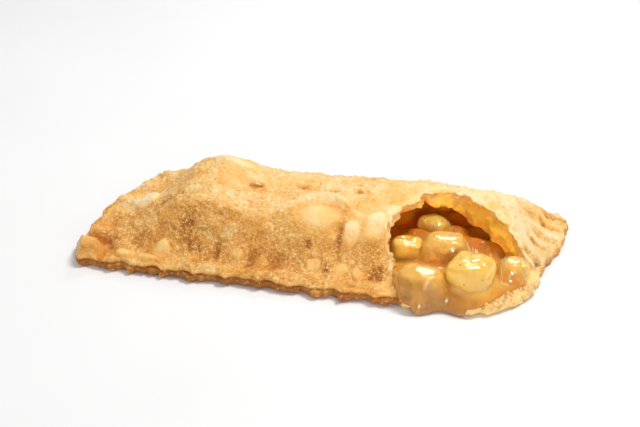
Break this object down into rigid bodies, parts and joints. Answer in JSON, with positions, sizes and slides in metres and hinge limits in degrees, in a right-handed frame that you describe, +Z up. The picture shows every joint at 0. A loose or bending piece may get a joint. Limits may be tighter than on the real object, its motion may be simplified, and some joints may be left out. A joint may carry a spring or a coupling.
{
  "type": "turnover pastry",
  "caption": "Long golden turnover pastry, crimped at both ends and bitten at one front corner, with fruit chunks in sauce showing at the bite.",
  "frame": {"origin": "centre of the bounding box in plan, on the surface the pastry lies on", "axes": "+X along the pastry towards the bitten end, +Y towards the folded long side, +Z up"},
  "size_m": [0.1476, 0.068, 0.0219],
  "materials": {
    "crust": "fried crust, golden with browner spots, fine gritty blisters, barely glossy",
    "filling": "thick glossy amber sauce",
    "fruit": "cooked pale yellow fruit, wet with sauce"
  },
  "bodies": {
    "root": {"crust": "crust", "filling": "filling", "fruit_chunk_1": "fruit", "fruit_chunk_2": "fruit", "fruit_chunk_3": "fruit", "fruit_chunk_4": "fruit", "fruit_chunk_5": "fruit", "fruit_chunk_6": "fruit"}
  },
  "joints": []
}
